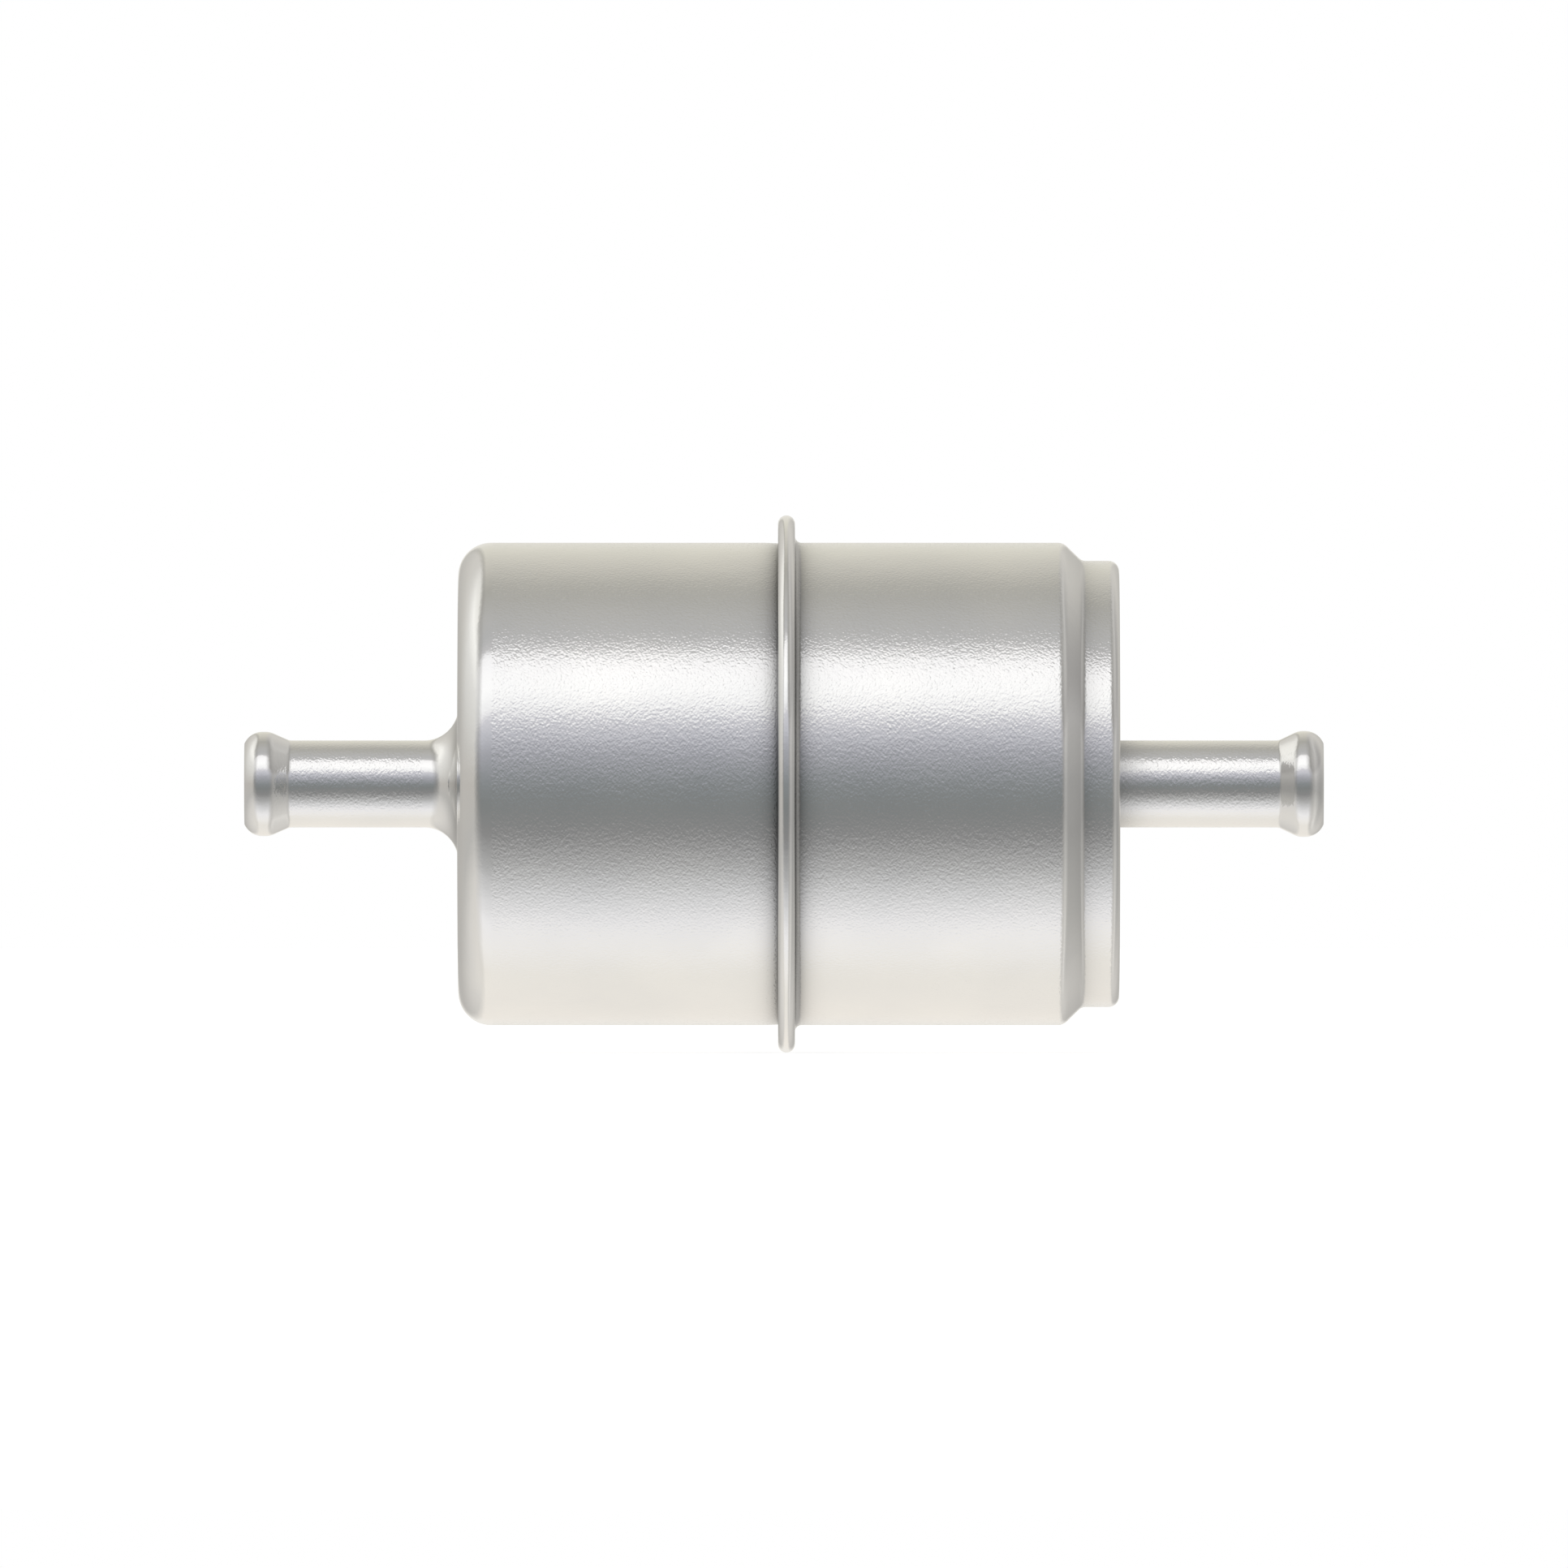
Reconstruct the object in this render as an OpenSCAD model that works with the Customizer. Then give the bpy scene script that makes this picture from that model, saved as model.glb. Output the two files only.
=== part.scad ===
// In-line steel fuel filter: two drawn cans joined by a rolled seam around a pleated paper cartridge,
// which a conical spring holds against its seat at the outlet end. Sizes are in millimetres.
// +X runs along the axis from inlet to outlet. The origin is on the axis, midway between the two tube tips.

/* [Hose tubes] */
// Outside diameter of both hose tubes
tube_od = 7.94; // [6.4:0.02:9.6]
// Length of the inlet tube, from the end wall to its tip
inlet_tube_len = 19.5; // [16:0.1:30]
// Length of the outlet tube, from the end wall to its tip
outlet_tube_len = 18.65; // [12:0.05:30]
// Height of the inlet tube's bead above the tube
inlet_bead_rise = 0.79; // [0.5:0.01:1]
// Height of the outlet tube's bead above the tube
outlet_bead_rise = 0.86; // [0.5:0.01:1]
// Length of a bead, from the tip to the foot of its ramp
bead_len = 4.1; // [3.5:0.1:6]
// Length of the ramp behind a bead
ramp_len = 1.8; // [1:0.1:2.2]
// Axial run of the steep face between the tip and the bead's crest
bead_lead = 0.55; // [0.3:0.05:0.6]
// Radius that the crest of a bead is rounded to
bead_round_r = 1.8; // [1:0.1:2]
// Depth of the tip's edge below the tube's surface
lip_drop = 0.25; // [0.1:0.05:0.4]
// Outside radius where the inlet tube is drawn out of its end wall
inlet_flare_r = 3.1; // [1.5:0.1:4]
// Wall of the separate outlet tube
outlet_tube_wall = 0.7; // [0.5:0.05:0.9]
// Height of the collar that holds the outlet tube behind its end wall
tube_collar_rise = 1.6; // [1:0.1:2.4]
// Thickness of that collar
tube_collar_t = 0.85; // [0.5:0.05:1]
// Leg of the brazed fillet round the collar
braze_leg = 0.6; // [0.3:0.05:0.8]

/* [Can] */
// Outside diameter of the can
can_od = 44; // [36:0.5:60]
// Thickness of the steel sheet
sheet_t = 0.45; // [0.35:0.01:0.6]
// Length of the inlet can, from its end wall to the seam
inlet_can_len = 29.15; // [24:0.05:50]
// Length of the outlet can, from the seam to its end wall
outlet_can_len = 29.55; // [24:0.05:50]
// Outside radius of the inlet can's corner
inlet_corner_r = 3; // [1.5:0.1:4.5]

/* [Rolled seam] */
// Height of the seam above the can
seam_rise = 2.5; // [2:0.1:4]
// Thickness of the sealing compound in the seam
seal_t = 0.2; // [0.1:0.05:0.4]
// Outside radius of the bend at the foot of the seam
seam_bend_r = 0.6; // [0.3:0.05:1]
// Outside radius of the inlet can's flange bend, inside the seam
flange_bend_r = 0.1; // [0.05:0.05:0.2]
// Gap between the rolled rim's cut edge and the inlet can
edge_gap = 0.12; // [0.1:0.01:0.25]
// How far rolling presses the inlet can in beside the seam
waist_drop = 0.05; // [0.02:0.01:0.15]
// Length over which it is pressed in
waist_len = 1.2; // [0.8:0.1:3]

/* [Outlet step] */
// How far the step lies below the can's surface
step_drop = 1.65; // [1:0.05:2.5]
// Axial length of the sloping shoulder
shoulder_len = 1.7; // [1:0.1:3]
// Length of the step, from the foot of the shoulder to the end wall
step_len = 3.4; // [3:0.1:6]
// Outside radius at the crest of the shoulder
shoulder_crest_r = 1.2; // [0.6:0.1:1.6]
// Outside radius at the foot of the shoulder
shoulder_foot_r = 0.9; // [0.6:0.1:1.2]
// Outside radius of the step's corner
step_corner_r = 0.95; // [0.5:0.05:1]

/* [Cartridge] */
// Thickness of the stamped end caps
cap_t = 0.35; // [0.25:0.01:0.5]
// Length of the rim turned on each end cap
cap_rim_len = 3; // [2.4:0.1:5]
// Radius of the bends in the end caps
cap_bend_r = 0.7; // [0.6:0.05:1]
// Radius of the boss that centres the spring on the inlet cap
boss_r = 8.2; // [6:0.1:9]
// Height of that boss
boss_rise = 1.2; // [0.8:0.1:1.6]
// Length of the outlet cap's collar inside the core
cap_collar_len = 3; // [2.4:0.1:4]
// Width of each centring lug on the inlet cap
lug_w = 5; // [3:0.5:8]
// Number of centring lugs
lug_count = 4; // [3:1:6]
// Length of each lug's pad along the can
lug_pad_len = 1.8; // [1:0.1:2.4]
// Thickness of the potting in each end cap
potting_t = 2; // [1.5:0.1:3]
// Depth of the pleats in the potting
pleat_bite = 1; // [0.5:0.1:1.2]
// Number of pleats in the paper
pleat_count = 36; // [24:1:44]
// Thickness of the filter paper
paper_t = 0.4; // [0.3:0.01:0.5]
// Radius of the outer folds, at the middle of the paper
outer_fold_r = 0.6; // [0.4:0.05:0.75]
// Thickness of the metal clip on the paper's seam
clip_t = 0.25; // [0.2:0.01:0.3]
// Depth of that clip, from the outer fold inwards
clip_depth = 3.4; // [2.5:0.1:5]
// Outside diameter of the perforated core
core_od = 15; // [14:0.1:18]
// Wall of the core
core_t = 0.4; // [0.3:0.01:0.5]
// Diameter of the holes in the core
core_hole_d = 2.6; // [1.6:0.1:3]
// Distance between rings of holes
core_hole_pitch = 5; // [4.5:0.1:8]
// Holes in each ring
core_holes_round = 8; // [4:1:10]
// Thickness of the gasket at the outlet seat, as clamped
gasket_t = 1.2; // [1:0.1:2]
// Radial width of that gasket
gasket_w = 4.2; // [2.5:0.1:6]

/* [Spring] */
// Diameter of the spring's wire
wire_d = 1.2; // [0.8:0.05:1.4]
// Number of turns
spring_turns = 4; // [3.5:0.25:4.5]
// Mean radius of the large end, on the inlet can's end wall
spring_large_r = 13.5; // [12:0.1:15]
// Height of the spring as fitted
spring_height = 8; // [7.5:0.1:11]

/* [Clearances] */
// Radial gap between the outlet cap and the step
cap_clear = 0.3; // [0.2:0.05:0.6]
// Radial gap between the lugs and the can
lug_clear = 0.25; // [0.2:0.05:0.5]
// Gap at a joint that is closed by rolling or brazing
fit_clear = 0.03; // [0.02:0.01:0.05]
// Gap between the pleats, the core and the caps' rims
pack_clear = 0.15; // [0.1:0.01:0.25]

/* [Hidden] */
$fn = 96;
arc_step = 15;          // degrees turned by each facet of a rounded bend
over = 1;               // how far a cutting tool runs past the wall it cuts
spring_ring_step = 15;  // degrees between rings of the spring's wire
wire_sides = 10;
hole_sides = 32;
spring_end_turns = 0.6; // turns at each end of the spring that lie flat
outer_fold_steps = 4;
inner_fold_steps = 4;
braze_steps = 6;
ramp_foot_r = 1;        // radius where a bead's ramp meets the tube
lip_wall_share = 0.7;   // the most of its wall that a tip may be turned in by
hole_turn = 0.25;       // how far the first ring of holes is turned, as a share of their spacing

// Places along the axis, all from the driving lengths
seam_w = 3 * sheet_t + seal_t;
overall_len = inlet_tube_len + inlet_can_len + seam_w + outlet_can_len + outlet_tube_len;
inlet_tip_x = -overall_len / 2;
inlet_wall_x = inlet_tip_x + inlet_tube_len;
seam_inlet_x = inlet_wall_x + inlet_can_len;
seam_outlet_x = seam_inlet_x + seam_w;
outlet_wall_x = seam_outlet_x + outlet_can_len;
outlet_tip_x = outlet_wall_x + outlet_tube_len;
shoulder_foot_x = outlet_wall_x - step_len;
shoulder_crest_x = shoulder_foot_x - shoulder_len;
outlet_seat_x = outlet_wall_x - sheet_t;
outlet_cap_x = outlet_seat_x - gasket_t;
inlet_cap_x = inlet_wall_x + sheet_t + spring_height;
core_inlet_x = inlet_cap_x + cap_t;
core_outlet_x = outlet_cap_x - cap_t;
paper_inlet_x = core_inlet_x + potting_t - pleat_bite;
paper_outlet_x = core_outlet_x - potting_t + pleat_bite;

// Radii, all from the driving diameters
tube_r = tube_od / 2;
can_r = can_od / 2;
seam_r = can_r + seam_rise;
waist_r = can_r - waist_drop;
flange_r = seam_r - seam_w / 2;
step_r = can_r - step_drop;
can_inner_r = can_r - sheet_t;
cap_r = step_r - sheet_t - cap_clear;
rim_inner_r = cap_r - cap_t;
clip_outer_r = rim_inner_r - pack_clear;
paper_outer_r = clip_outer_r - clip_t;
core_r = core_od / 2;
paper_inner_r = core_r + pack_clear;
cap_hole_r = core_r - core_t - fit_clear - cap_t;
lug_r = can_inner_r - lug_clear;
gasket_outer_r = cap_r - cap_bend_r;
tube_collar_r = tube_r + tube_collar_rise;
spring_small_r = boss_r + cap_clear + wire_d / 2;

// Pleats: the inner folds are as round as their pitch at the core allows
half_pitch = 180 / pleat_count;
inner_fold_r = (paper_inner_r + paper_t / 2) * sin(half_pitch) - paper_t / 2 - pack_clear / 2;
outer_fold_at = paper_outer_r - paper_t / 2 - outer_fold_r;
inner_fold_at = paper_inner_r + paper_t / 2 + inner_fold_r;

function left_of(v) = [-v[1], v[0]];
function turned_by(v, a) = [v[0] * cos(a) - v[1] * sin(a), v[0] * sin(a) + v[1] * cos(a)];
function polar(r, a) = [r * cos(a), r * sin(a)];
function place(entry) = [entry[0], entry[1]];
function heading(a, b) = (place(b) - place(a)) / norm(place(b) - place(a));
function reversed(list) = [for (i = [len(list) - 1 : -1 : 0]) list[i]];
function arc(centre, r, from, to, steps) =
    [for (k = [0 : steps]) centre + polar(r, from + (to - from) * k / steps)];

// One corner of a sheet's path, moved t to the left of it. An entry is [x, radius, bend radius].
function corner(path, i, t) =
    i == 0 ? [place(path[0]) + t * left_of(heading(path[0], path[1]))] :
    i == len(path) - 1 ? [place(path[i]) + t * left_of(heading(path[i - 1], path[i]))] :
    let (
        u = heading(path[i - 1], path[i]),
        v = heading(path[i], path[i + 1]),
        turn = atan2(cross(u, v), u * v),
        mitre = place(path[i]) + t * (left_of(u) + left_of(v)) / (1 + u * v),
        bend = max(0, path[i][2] - sign(turn) * t),
        centre = mitre - bend * tan(abs(turn) / 2) * u + sign(turn) * bend * left_of(u),
        steps = max(1, ceil(abs(turn) / arc_step))
    )
    bend == 0 ? [mitre] :
    [for (k = [0 : steps]) centre - turned_by(sign(turn) * bend * left_of(u), turn * k / steps)];

function side_of(path, t) = [for (i = [0 : len(path) - 1]) each corner(path, i, t)];

// The section of a bent sheet of thickness t, which lies to the left of its path
function sheet(path, t) = concat(side_of(path, 0), reversed(side_of(path, t)));

// The outside of a beaded tube, from its tip towards the can. The tip is at tip_x and dir points inwards.
function beaded_tip(tip_x, dir, rise, wall) =
    let (
        lip_r = tube_r - min(lip_drop, lip_wall_share * wall),
        crest_r = tube_r + rise,
        lead = [bead_lead, crest_r - lip_r],
        crest_bend = min(bead_round_r, norm(lead) / tan(atan2(lead[1], lead[0]) / 2))
    )
    [
        [tip_x, lip_r, 0],
        [tip_x + dir * bead_lead, crest_r, crest_bend],
        [tip_x + dir * (bead_len - ramp_len), crest_r, crest_bend],
        [tip_x + dir * bead_len, tube_r, ramp_foot_r]
    ];

// Revolves a section of [x, radius] points about the X axis
module turned(section, angle = 360) {
    rotate([0, 90, 0])
        rotate_extrude(angle = angle)
            polygon([for (p = section) [p[1], p[0]]]);
}

module ring(x_from, x_to, r_from, r_to) {
    turned([[x_from, r_from], [x_to, r_from], [x_to, r_to], [x_from, r_to]]);
}

// Stands a flat shape up across the axis, from x_from to x_to
module across(x_from, x_to) {
    translate([x_from, 0, 0])
        rotate([0, 90, 0])
            linear_extrude(height = x_to - x_from)
                children();
}

// Deep-drawn can with its hose tube in one piece, and a flange that the seam grips
module inlet_shell() {
    flange_x = seam_inlet_x + sheet_t;
    path = concat(
        [
            [flange_x, flange_r, 0],
            [flange_x, waist_r, flange_bend_r],
            [seam_inlet_x, waist_r, 0],
            [seam_inlet_x - waist_len, can_r, 0],
            [inlet_wall_x, can_r, inlet_corner_r],
            [inlet_wall_x, tube_r, inlet_flare_r]
        ],
        reversed(beaded_tip(inlet_tip_x, 1, inlet_bead_rise, sheet_t))
    );
    color("silver") turned(sheet(path, sheet_t));
}

// Stepped can whose rim is rolled over the inlet can's flange
module outlet_shell() {
    path = [
        [outlet_wall_x, tube_r + fit_clear, 0],
        [outlet_wall_x, step_r, step_corner_r],
        [shoulder_foot_x, step_r, shoulder_foot_r],
        [shoulder_crest_x, can_r, shoulder_crest_r],
        [seam_outlet_x, can_r, seam_bend_r],
        [seam_outlet_x, seam_r, seam_w / 2],
        [seam_inlet_x, seam_r, seam_w / 2],
        [seam_inlet_x, waist_r + edge_gap, 0]
    ];
    color("silver") turned(sheet(path, sheet_t));
}

// Sealing compound between the flange and the rolled rim
module seam_seal() {
    seal_x = seam_inlet_x + 2 * sheet_t;
    color("dimgray") ring(seal_x, seal_x + seal_t, can_r + sheet_t, flange_r);
}

// Beaded tube, pushed through the end wall until its collar seats behind it
module outlet_tube() {
    path = concat(
        beaded_tip(outlet_tip_x, -1, outlet_bead_rise, outlet_tube_wall),
        [[outlet_seat_x - tube_collar_t, tube_r, 0]]
    );
    color("silver") {
        turned(sheet(path, outlet_tube_wall));
        ring(outlet_seat_x - tube_collar_t, outlet_seat_x, tube_r - outlet_tube_wall / 2, tube_collar_r);
    }
}

// Brazed fillet between the tube's collar and the end wall
module braze_ring() {
    hollow = [outlet_seat_x - braze_leg, tube_collar_r + braze_leg];
    color("peru") turned(concat([[outlet_seat_x, tube_collar_r]], arc(hollow, braze_leg, 0, -90, braze_steps)));
}

// Shallow cup at the inlet end, closed, with a boss for the spring and lugs that centre it in the can
module inlet_end_cap() {
    rim_x = inlet_cap_x + cap_rim_len;
    path = [
        [rim_x, cap_r, 0],
        [inlet_cap_x, cap_r, cap_bend_r],
        [inlet_cap_x, boss_r, cap_bend_r - cap_t],
        [inlet_cap_x - boss_rise, boss_r, cap_bend_r],
        [inlet_cap_x - boss_rise, 0, 0]
    ];
    lug = [
        [rim_x - lug_pad_len, lug_r, 0],
        [rim_x, lug_r, cap_t],
        [rim_x, rim_inner_r, 0]
    ];
    lug_angle = lug_w / lug_r * 180 / PI;
    color("gainsboro") {
        turned(sheet(path, cap_t));
        // each lug starts half its width on, clear of the line where the cap's own sweep closes
        for (k = [0 : lug_count - 1])
            rotate([k * 360 / lug_count + lug_angle / 2, 0, 0])
                turned(sheet(reversed(lug), cap_t), lug_angle);
    }
}

// Shallow cup at the outlet end, with a collar that fits inside the core
module outlet_end_cap() {
    path = [
        [outlet_cap_x - cap_collar_len, cap_hole_r, 0],
        [outlet_cap_x, cap_hole_r, cap_bend_r],
        [outlet_cap_x, cap_r, cap_bend_r],
        [outlet_cap_x - cap_rim_len, cap_r, 0]
    ];
    color("gainsboro") turned(sheet(path, cap_t));
}

// One closed loop of the pleated paper's outline, with these fold radii
function pleat_loop(outer_r, inner_r) =
    let (
        to_inner = polar(inner_fold_at, half_pitch) - [outer_fold_at, 0],
        leave = atan2(to_inner[1], to_inner[0]) - acos((outer_r + inner_r) / norm(to_inner))
    )
    [for (k = [0 : pleat_count - 1])
        let (a = 2 * k * half_pitch, b = a + half_pitch, sweep = leave - half_pitch)
        each concat(
            arc(polar(outer_fold_at, a), outer_r, a - leave, a + leave, outer_fold_steps),
            arc(polar(inner_fold_at, b), inner_r, b + 180 + sweep, b + 180 - sweep, inner_fold_steps)
        )
    ];

// The paper's section: a star-shaped ring
module pleats() {
    rotate(180)
        difference() {
            polygon(pleat_loop(outer_fold_r + paper_t / 2, inner_fold_r - paper_t / 2));
            polygon(pleat_loop(outer_fold_r - paper_t / 2, inner_fold_r + paper_t / 2));
        }
}

module pleated_paper() {
    color("khaki") across(paper_inlet_x, paper_outlet_x) pleats();
}

// U-shaped clip crimped over the fold where the ends of the paper meet
module paper_seam_clip() {
    inside = outer_fold_r + paper_t / 2;
    outside = inside + clip_t;
    color("gainsboro")
        across(core_inlet_x + potting_t, core_outlet_x - potting_t)
            rotate(180)
                difference() {
                    union() {
                        translate([outer_fold_at, 0]) circle(outside);
                        translate([clip_outer_r - clip_depth, -outside])
                            square([clip_depth - outside, 2 * outside]);
                    }
                    translate([outer_fold_at, 0]) circle(inside);
                    translate([clip_outer_r - clip_depth - over, -inside])
                        square([clip_depth + over - outside, 2 * inside]);
                }
}

// Potting between the core and a cap's rim, with the pleats let into it. It lies from the cap in direction dir.
module potting(cap_face_x, dir) {
    bend = cap_bend_r - cap_t;
    free_face_x = cap_face_x + dir * potting_t;
    color("orangered")
        difference() {
            turned([
                [cap_face_x, core_r],
                [cap_face_x, rim_inner_r - bend],
                [cap_face_x + dir * bend, rim_inner_r],
                [free_face_x, rim_inner_r],
                [free_face_x, core_r]
            ]);
            across(paper_inlet_x, paper_outlet_x) pleats();
        }
}

module inlet_potting() {
    potting(core_inlet_x, 1);
}

module outlet_potting() {
    potting(core_outlet_x, -1);
}

// Perforated tube that carries the pleats' inner folds
module perforated_core() {
    open_len = core_outlet_x - core_inlet_x - 2 * potting_t;
    rings = floor((open_len - core_hole_d) / core_hole_pitch) + 1;
    first_x = (core_inlet_x + core_outlet_x - (rings - 1) * core_hole_pitch) / 2;
    hole_angle = 360 / core_holes_round;
    color("lightgray")
        difference() {
            ring(core_inlet_x, core_outlet_x - cap_bend_r + cap_t, core_r - core_t, core_r);
            for (i = [0 : rings - 1], k = [0 : core_holes_round - 1])
                translate([first_x + i * core_hole_pitch, 0, 0])
                    rotate([(k + hole_turn + (i % 2) / 2) * hole_angle, 0, 0])
                        translate([0, 0, core_r - core_t - over])
                            cylinder(h = core_t + 2 * over, d = core_hole_d, $fn = hole_sides);
        }
}

// Flat gasket between the outlet cap and the end wall
module outlet_gasket() {
    color("black") ring(outlet_cap_x, outlet_seat_x, gasket_outer_r - gasket_w, gasket_outer_r);
}

// The spring's wire centre at this many turns from the large end: [height above the end wall, radius]
function coil_place(turns) =
    let (
        rising = min(max(turns - spring_end_turns, 0), spring_turns - 2 * spring_end_turns),
        climb = spring_height - wire_d - 2 * fit_clear
    )
    [
        fit_clear + wire_d / 2 + climb * rising / (spring_turns - 2 * spring_end_turns),
        spring_large_r + (spring_small_r - spring_large_r) * turns / spring_turns
    ];

// Conical compression spring between the inlet can's end wall and the inlet cap
module preload_spring() {
    rings = round(spring_turns * 360 / spring_ring_step);
    points = [
        for (i = [0 : rings], s = [0 : wire_sides - 1])
            let (
                coil = coil_place(i * spring_turns / rings) + polar(wire_d / 2, s * 360 / wire_sides),
                a = i * spring_turns * 360 / rings
            )
            [coil[0], coil[1] * cos(a), coil[1] * sin(a)]
    ];
    sides = [
        for (i = [0 : rings - 1], s = [0 : wire_sides - 1])
            let (next = (s + 1) % wire_sides, at = i * wire_sides)
            [at + s, at + next, at + wire_sides + next, at + wire_sides + s]
    ];
    first_end = [for (s = [wire_sides - 1 : -1 : 0]) s];
    last_end = [for (s = [0 : wire_sides - 1]) rings * wire_sides + s];
    color("lightsteelblue")
        translate([inlet_wall_x + sheet_t, 0, 0])
            polyhedron(points, concat(sides, [first_end, last_end]));
}

inlet_shell();
outlet_shell();
seam_seal();
outlet_tube();
braze_ring();
preload_spring();
inlet_end_cap();
outlet_end_cap();
inlet_potting();
outlet_potting();
perforated_core();
pleated_paper();
paper_seam_clip();
outlet_gasket();
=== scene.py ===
import math

import bmesh
import bpy
from mathutils import Matrix, Vector


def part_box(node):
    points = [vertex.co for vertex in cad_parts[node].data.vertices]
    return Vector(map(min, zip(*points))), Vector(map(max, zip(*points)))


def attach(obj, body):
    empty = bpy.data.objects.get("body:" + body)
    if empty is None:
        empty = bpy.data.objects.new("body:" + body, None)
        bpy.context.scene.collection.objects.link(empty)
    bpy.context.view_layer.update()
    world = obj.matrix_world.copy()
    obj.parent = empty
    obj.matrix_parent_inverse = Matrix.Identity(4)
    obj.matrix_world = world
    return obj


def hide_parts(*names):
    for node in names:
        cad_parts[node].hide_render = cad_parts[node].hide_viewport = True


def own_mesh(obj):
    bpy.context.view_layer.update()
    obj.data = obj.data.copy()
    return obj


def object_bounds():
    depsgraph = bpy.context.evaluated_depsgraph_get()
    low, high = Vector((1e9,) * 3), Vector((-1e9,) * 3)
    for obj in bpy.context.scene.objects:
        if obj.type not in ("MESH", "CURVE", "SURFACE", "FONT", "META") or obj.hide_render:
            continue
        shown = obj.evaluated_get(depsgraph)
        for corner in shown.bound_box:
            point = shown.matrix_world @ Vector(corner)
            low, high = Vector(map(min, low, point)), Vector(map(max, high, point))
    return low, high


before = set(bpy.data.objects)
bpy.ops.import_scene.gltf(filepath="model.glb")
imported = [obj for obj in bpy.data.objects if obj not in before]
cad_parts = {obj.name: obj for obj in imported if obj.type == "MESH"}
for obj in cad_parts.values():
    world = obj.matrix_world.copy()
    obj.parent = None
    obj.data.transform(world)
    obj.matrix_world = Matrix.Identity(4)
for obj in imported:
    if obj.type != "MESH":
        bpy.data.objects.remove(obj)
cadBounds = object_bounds()
mm = 0.001


# shader helpers

def newMaterial(name):
    mat = bpy.data.materials.new(name)
    mat.use_nodes = True
    tree = mat.node_tree
    return mat, tree, tree.nodes["Principled BSDF"]


def addNode(tree, kind, **settings):
    made = tree.nodes.new(kind)
    for key, value in settings.items():
        if key in made.inputs.keys():
            made.inputs[key].default_value = value
        else:
            setattr(made, key, value)
    return made


def placeOn(tree, stretch=(1, 1, 1), turn=(0, 0, 0)):
    # turned first, then drawn out along the turned axes
    coords = addNode(tree, "ShaderNodeTexCoord")
    mapping = addNode(tree, "ShaderNodeMapping", vector_type="TEXTURE", Scale=stretch, Rotation=turn)
    tree.links.new(coords.outputs["Object"], mapping.inputs["Vector"])
    return mapping.outputs["Vector"]


def mathOn(tree, operation, *values):
    made = addNode(tree, "ShaderNodeMath", operation=operation)
    for socket, value in zip(made.inputs, values):
        if isinstance(value, (int, float)):
            socket.default_value = value
        else:
            tree.links.new(value, socket)
    return made.outputs[0]


def axesOn(tree, where):
    axes = addNode(tree, "ShaderNodeSeparateXYZ")
    tree.links.new(where, axes.inputs[0])
    return axes.outputs["X"], axes.outputs["Y"], axes.outputs["Z"]


def noiseOn(tree, where, scale, detail=2.0, roughness=0.5):
    noise = addNode(tree, "ShaderNodeTexNoise", Scale=scale, Detail=detail, Roughness=roughness)
    tree.links.new(where, noise.inputs["Vector"])
    return noise.outputs["Fac"]


def rampOn(tree, factor, stops):
    ramp = addNode(tree, "ShaderNodeValToRGB")
    while len(ramp.color_ramp.elements) > 1:
        ramp.color_ramp.elements.remove(ramp.color_ramp.elements[-1])
    for i, (place, colour) in enumerate(stops):
        stop = ramp.color_ramp.elements[0] if i == 0 else ramp.color_ramp.elements.new(place)
        stop.position = place
        stop.color = (*colour, 1)
    tree.links.new(factor, ramp.inputs["Fac"])
    return ramp.outputs["Color"]


def rangeOn(tree, factor, low, high, fromLow=0.3, fromHigh=0.7, way="LINEAR"):
    spread = addNode(tree, "ShaderNodeMapRange", interpolation_type=way)
    spread.inputs["From Min"].default_value = fromLow
    spread.inputs["From Max"].default_value = fromHigh
    spread.inputs["To Min"].default_value = low
    spread.inputs["To Max"].default_value = high
    tree.links.new(factor, spread.inputs["Value"])
    return spread.outputs["Result"]


def bumpOn(tree, height, distance, strength=1.0, after=None):
    bump = addNode(tree, "ShaderNodeBump", Distance=distance)
    if isinstance(strength, (int, float)):
        bump.inputs["Strength"].default_value = strength
    else:
        tree.links.new(strength, bump.inputs["Strength"])
    tree.links.new(height, bump.inputs["Height"])
    if after:
        tree.links.new(after, bump.inputs["Normal"])
    return bump.outputs["Normal"]


def mixOn(tree, factor, first, second, way="MIX"):
    mix = addNode(tree, "ShaderNodeMix", data_type="RGBA", blend_type=way)
    if isinstance(factor, (int, float)):
        mix.inputs["Factor"].default_value = factor
    else:
        tree.links.new(factor, mix.inputs["Factor"])
    for socket, value in ((mix.inputs[6], first), (mix.inputs[7], second)):
        if isinstance(value, tuple):
            socket.default_value = (*value, 1)
        else:
            tree.links.new(value, socket)
    return mix.outputs[2]


# shape helpers

def arc(centre, radius, start, end, steps):
    angles = [math.radians(start + (end - start) * k / steps) for k in range(steps + 1)]
    return [Vector((centre[0] + radius * math.cos(a), centre[1] + radius * math.sin(a))) for a in angles]


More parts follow.
